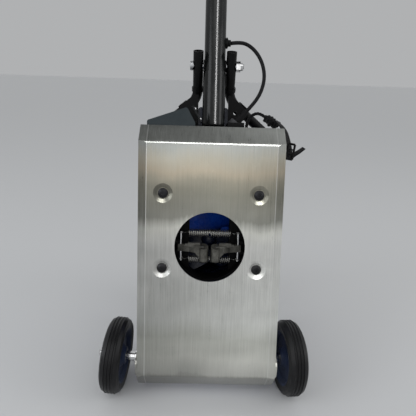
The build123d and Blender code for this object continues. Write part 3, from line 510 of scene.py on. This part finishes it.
def round_tube(line, radius, sides=24):
    """A closed round tube along a line of points."""
    made = bmesh.new()
    rings = []
    side = None
    for index, point in enumerate(line):
        ahead = line[min(index + 1, len(line) - 1)]
        behind = line[max(index - 1, 0)]
        way = (ahead - behind).normalized()
        if side is None:
            side = way.orthogonal().normalized()
        side = (side - way * side.dot(way)).normalized()
        other = way.cross(side)
        r = radius(index / (len(line) - 1)) if callable(radius) else radius
        ring = []
        for turn in range(sides):
            angle = 2 * math.pi * turn / sides
            ring.append(made.verts.new(point + r * (math.cos(angle) * side + math.sin(angle) * other)))
        rings.append(ring)
    for first, second in zip(rings, rings[1:]):
        for turn in range(sides):
            after = (turn + 1) % sides
            made.faces.new((first[turn], first[after], second[after], second[turn]))
    made.faces.new(list(reversed(rings[0])))
    made.faces.new(rings[-1])
    mesh = bpy.data.meshes.new("tube")
    made.to_mesh(mesh)
    made.free()
    return mesh


def add_cable(look):
    points = [Vector((x, y + FOLD_Y, z)) for x, y, z in CABLE_ROUTE]
    line = route_line(points)
    cable = bpy.data.objects.new("power_cable", round_tube(line, CABLE_D / 2))
    bpy.context.scene.collection.objects.link(cable)
    for face in cable.data.polygons:
        face.use_smooth = True
    cable.data.materials.append(look)
    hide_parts("cable")
    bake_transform(cable)
    return cable


def joined(meshes, name):
    """Several meshes as one."""
    made = bmesh.new()
    for mesh in meshes:
        made.from_mesh(mesh)
        bpy.data.meshes.remove(mesh)
    mesh = bpy.data.meshes.new(name)
    made.to_mesh(mesh)
    made.free()
    return mesh


def frames_along(line):
    """Each point of a line with two unit vectors across it that do not twist."""
    side = None
    placed = []
    for index, point in enumerate(line):
        way = (line[min(index + 1, len(line) - 1)] - line[max(index - 1, 0)]).normalized()
        if side is None:
            side = way.orthogonal().normalized()
        side = (side - way * side.dot(way)).normalized()
        placed.append((point, side, way.cross(side)))
    return placed


def strands(line, radius, count=3, turns_per_m=70.0, sides=10):
    """Twisted strands that make up a rope along a line."""
    finer = []
    for a, b in zip(line, line[1:]):
        pieces = max(1, int((b - a).length / 0.0011))
        finer += [a.lerp(b, k / pieces) for k in range(pieces)]
    finer.append(line[-1])
    placed = frames_along(finer)
    travelled = [0.0]
    for a, b in zip(finer, finer[1:]):
        travelled.append(travelled[-1] + (b - a).length)
    tubes = []
    for strand in range(count):
        path = []
        for (point, side, other), run in zip(placed, travelled):
            angle = 2 * math.pi * (turns_per_m * run + strand / count)
            path.append(point + 0.46 * radius * (math.cos(angle) * side + math.sin(angle) * other))
        tubes.append(round_tube(path, 0.56 * radius, sides))
    return joined(tubes, "strands")


# ------------------------------------------------------------------ draw rope and its knot
ROPE_ROUTE = [
    (64.0, 66.0, 440.0),
    (63.0, 66.0, 455.0),
    (65.5, 65.0, 470.0),
    (75.5, 62.0, 481.5),
    (88.5, 58.0, 482.0),
    (98.5, 54.5, 473.5),
]
ROPE_D = 6 * MM
KNOT_MID = (108.5, 53.5, 466.5)
KNOT_LEAN = math.radians(34)
KNOT_TURNS = 4.4


def knot_line():
    """The rope's end wound round itself: a short barrel hitch with its tucked tail."""
    along = Vector((math.cos(KNOT_LEAN), 0, -math.sin(KNOT_LEAN)))
    over = Vector((math.sin(KNOT_LEAN), 0, math.cos(KNOT_LEAN)))
    back = Vector((0, 1, 0))
    mid = Vector(KNOT_MID)
    line = [mid - 15.0 * along + 2.0 * over, mid - 10.0 * along, mid + 12.0 * along - 1.0 * back]
    steps = 72
    for step in range(steps + 1):
        share = step / steps
        angle = 2 * math.pi * KNOT_TURNS * share
        bulge = 5.6 + 1.1 * math.sin(4.0 * share * math.pi + 0.6)
        around = math.cos(angle) * over + math.sin(angle) * back
        line.append(mid + (11.8 - 23.6 * share) * along + bulge * around)
    line.append(mid - 13.5 * along + 3.6 * over)
    return [HEAD @ (point * MM) for point in line]


def add_rope(look):
    points = [head(*point) for point in ROPE_ROUTE]
    line = route_line(points)
    rope = add_piece("draw_rope_strands", strands(line, ROPE_D / 2), "head", look)
    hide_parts("draw_rope")
    knot = add_piece("rope_hitch", strands(knot_line(), 3.5 * MM), "head", look)
    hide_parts("rope_knot")


# ------------------------------------------------------------------ guard springs
GUARD_S = 236.2
GUARD_PIN = (52.0, 24.0)
SPRING_R = 7.4
SPRING_HALF = 38.0
SPRING_RISE = {"upper": 27.0, "lower": -21.3}
WIRE = 1.65
HALF_COILS = 10.5


def spring_half(rise, side):
    """Half of a wound spring, from its middle to the hook round its pin, in head coordinates."""
    x_pin, n = GUARD_PIN
    s = GUARD_S + rise
    reach = SPRING_R - WIRE / 2
    points = []
    steps = int(HALF_COILS * 20)
    for step in range(steps + 1):
        share = step / steps
        angle = 2 * math.pi * HALF_COILS * share
        points.append((SPRING_HALF * share, n - reach * math.cos(angle), s + reach * math.sin(angle)))
    eye = 4.4
    for step in range(1, 8):
        share = step / 8
        points.append((SPRING_HALF + 7.0 * share, n + reach * (1 - share), s))
    for step in range(0, 15):
        angle = math.pi + 1.85 * math.pi * step / 14
        points.append((x_pin + eye * math.cos(angle) * 0.9, n + eye * math.sin(angle), s + 0.12 * step))
    return [head(side * x, depth, height) for x, depth, height in points]


def add_springs(look):
    for level, rise in SPRING_RISE.items():
        for side, name in ((-1, "left"), (1, "right")):
            line = spring_half(rise, side)
            half = bpy.data.objects.new(level + "_spring_" + name, round_tube(line, WIRE / 2 * MM, 10))
            bpy.context.scene.collection.objects.link(half)
            for face in half.data.polygons:
                face.use_smooth = True
            half.data.materials.append(look)
            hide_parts(level + "_spring")
            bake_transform(half)


# ------------------------------------------------------------------ debris bag
BAG_START = 180.0
BAG_RINGS = (
    (0.0, 82.0, 82.0, 0.0),
    (5.0, 82.5, 82.5, 0.0),
    (16.0, 90.0, 90.5, -2.0),
    (34.0, 101.0, 104.0, -8.0),
    (60.0, 110.0, 116.0, -18.0),
    (90.0, 111.5, 119.5, -29.0),
    (118.0, 107.5, 118.0, -38.0),
    (136.0, 90.0, 101.0, -42.0),
    (148.0, 60.0, 70.0, -45.0),
    (151.0, 26.0, 33.0, -46.0),
)
BAG_SIDES = 144


def bag_mesh():
    """Lofted bag that hangs from the collar: gathered at the neck, heavy below, seamed at both sides."""
    made = bmesh.new()
    rings = []
    dense = []
    for (n0, a0, b0, s0), (n1, a1, b1, s1) in zip(BAG_RINGS, BAG_RINGS[1:]):
        parts = max(2, int((n1 - n0) / 3.0))
        for part in range(parts):
            share = part / parts
            dense.append(tuple(p + share * (q - p) for p, q in ((n0, n1), (a0, a1), (b0, b1), (s0, s1))))
    dense.append(BAG_RINGS[-1])
    for depth, wide, tall, drop in dense:
        ring = []
        gathered = max(0.0, 1.0 - depth / 70.0)
        for turn in range(BAG_SIDES):
            angle = 2 * math.pi * turn / BAG_SIDES
            fold = math.sin(34 * angle + 1.3 * math.sin(3 * angle))
            pleat = 1.6 * gathered * (0.25 + min(1.0, depth / 12.0)) * fold
            spot = Vector((math.cos(angle) * 2.2, depth * 0.030, math.sin(angle) * 2.2))
            crease = 3.4 * noise.fractal(spot * 1.7, 0.9, 2.1, 4) * min(1.0, depth / 25.0)
            seam = -1.6 * math.exp(-(math.sin(angle) / 0.030) ** 2) * min(1.0, depth / 20.0)
            swell = pleat + crease + seam - 2.6
            sag = -4.0 * math.sin(math.pi * min(1.0, depth / 150.0)) * max(0.0, -math.sin(angle)) * 0.4
            x = (wide + swell) * math.cos(angle)
            s = PORT_S / MM + drop + (tall + swell) * math.sin(angle) + sag
            ring.append(made.verts.new(head(x, BAG_START + depth, s)))
        rings.append(ring)
    for first, second in zip(rings, rings[1:]):
        for turn in range(BAG_SIDES):
            after = (turn + 1) % BAG_SIDES
            made.faces.new((first[turn], first[after], second[after], second[turn]))
    made.faces.new(rings[-1])
    mesh = bpy.data.meshes.new("bag")
    bmesh.ops.recalc_face_normals(made, faces=made.faces)
    made.to_mesh(mesh)
    made.free()
    return mesh


def add_bag(looks):
    bag = add_piece("bag_cloth_body", bag_mesh(), "head", looks["bag_cloth"])
    wall = bag.modifiers.new("cloth", "SOLIDIFY")
    wall.thickness = 1.4 * MM
    wall.offset = -1
    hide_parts("debris_bag")
    band = add_piece("neck_webbing", neck_mesh(), "head", looks["webbing"])
    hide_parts("neck_band")


def neck_mesh():
    """Flat band round the bag's neck, pulled a little uneven over the pleats, with its stitched overlap."""
    made = bmesh.new()
    sides = 160
    profile = ((-2.0, 0.2), (-1.4, 1.5), (4.0, 1.9), (9.4, 1.5), (10.0, 0.2), (9.4, 0.0), (-1.4, 0.0))
    rings = []
    for turn in range(sides):
        angle = 2 * math.pi * turn / sides
        ripple = 0.35 * math.sin(34 * angle + 1.3 * math.sin(3 * angle))
        overlap = 1.4 if 1.35 < angle < 1.62 else 0.0
        ring = []
        for depth, out in profile:
            radius = 82.2 + out + ripple + (overlap if out > 0.5 else 0.0)
            ring.append(made.verts.new(head(radius * math.cos(angle), BAG_START + depth,
                                            PORT_S / MM + radius * math.sin(angle))))
        rings.append(ring)
    for turn in range(sides):
        first, second = rings[turn], rings[(turn + 1) % sides]
        for k in range(len(profile)):
            after = (k + 1) % len(profile)
            made.faces.new((first[k], first[after], second[after], second[k]))
    bmesh.ops.recalc_face_normals(made, faces=made.faces)
    mesh = bpy.data.meshes.new("neck")
    made.to_mesh(mesh)
    made.free()
    return mesh


# ------------------------------------------------------------------ side strap and its buckle
def ribbon(points, thick):
    """A flat strap: each point is x, n, s, its width and how far it is turned to face the front, degrees."""
    path = route_line([head(x, n, s) for x, n, s, _, _ in points])
    made = bmesh.new()
    rings = []
    back = HEAD.to_3x3() @ Vector((0, 1, 0))
    for index, point in enumerate(path):
        share = index / (len(path) - 1) * (len(points) - 1)
        low = min(int(share), len(points) - 2)
        part = share - low
        width = (1 - part) * points[low][3] + part * points[low + 1][3]
        turn = math.radians((1 - part) * points[low][4] + part * points[low + 1][4])
        way = (path[min(index + 1, len(path) - 1)] - path[max(index - 1, 0)]).normalized()
        flat = (back - way * back.dot(way)).normalized()
        across = way.cross(flat)
        wide = math.cos(turn) * flat + math.sin(turn) * across
        up = way.cross(wide)
        ring = []
        for u, v in ((-1, -0.35), (-0.94, -1), (-0.5, -1), (0, -1), (0.5, -1), (0.94, -1), (1, -0.35), (1, 0.35),
                     (0.94, 1), (0.5, 1), (0, 1), (-0.5, 1), (-0.94, 1), (-1, 0.35)):
            ring.append(made.verts.new(point + (u * width / 2 * wide + v * thick / 2 * up) * MM))
        rings.append(ring)
    for first, second in zip(rings, rings[1:]):
        for k in range(14):
            after = (k + 1) % 14
            made.faces.new((first[k], first[after], second[after], second[k]))
    made.faces.new(list(reversed(rings[0])))
    made.faces.new(rings[-1])
    bmesh.ops.recalc_face_normals(made, faces=made.faces)
    mesh = bpy.data.meshes.new("ribbon")
    made.to_mesh(mesh)
    made.free()
    return mesh


def bar_between(a, b, radius, sides=12):
    return round_tube([a.lerp(b, k / 6) for k in range(7)], radius, sides)


def add_strap(looks):
    down = ribbon(((109, 37, 470, 12, 10), (120, 36, 462, 13, 35), (130, 35.5, 449, 14, 48),
                   (134.5, 35.5, 436, 14, 52), (138, 36, 424, 14, 55), (140.5, 35.5, 410, 14, 55), (142, 35.5, 399, 13, 50)), 1.8)
    tail = ribbon(((140, 36, 402, 12, 40), (149, 37, 409, 12, 34), (158, 38, 414, 12, 30),
                   (166.5, 38, 421, 11, 26)), 1.4)
    strap = add_piece("shoulder_webbing", joined([down, tail], "strap"), "head", looks["webbing"])
    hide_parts("side_strap")
    corners = [(-5.6, 14.0), (5.6, 14.0), (5.6, -13.0), (-5.6, -13.0)]
    lean = math.radians(-9)
    spots = []
    for x, s in corners:
        turned = (x * math.cos(lean) - s * math.sin(lean), x * math.sin(lean) + s * math.cos(lean))
        spots.append(head(140.6 + turned[0], 30.5, 413.0 + turned[1]))
    bars = [bar_between(a, b, 2.0 * MM) for a, b in zip(spots, spots[1:] + spots[:1])]
    for share in (0.36, 0.66):
        bars.append(bar_between(spots[0].lerp(spots[3], share), spots[1].lerp(spots[2], share), 1.5 * MM))
    buckle = add_piece("ladder_buckle", joined(bars, "buckle"), "head", looks["black_plastic"])
    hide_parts("strap_buckle")


# ------------------------------------------------------------------ build
looks = make_materials()
add_camera()
add_stage()
dress_cad_nodes(looks)
add_cable(looks["cable_rubber"])
add_rope(looks["rope_fibre"])
add_springs(looks["spring_steel"])
add_bag(looks)
add_strap(looks)
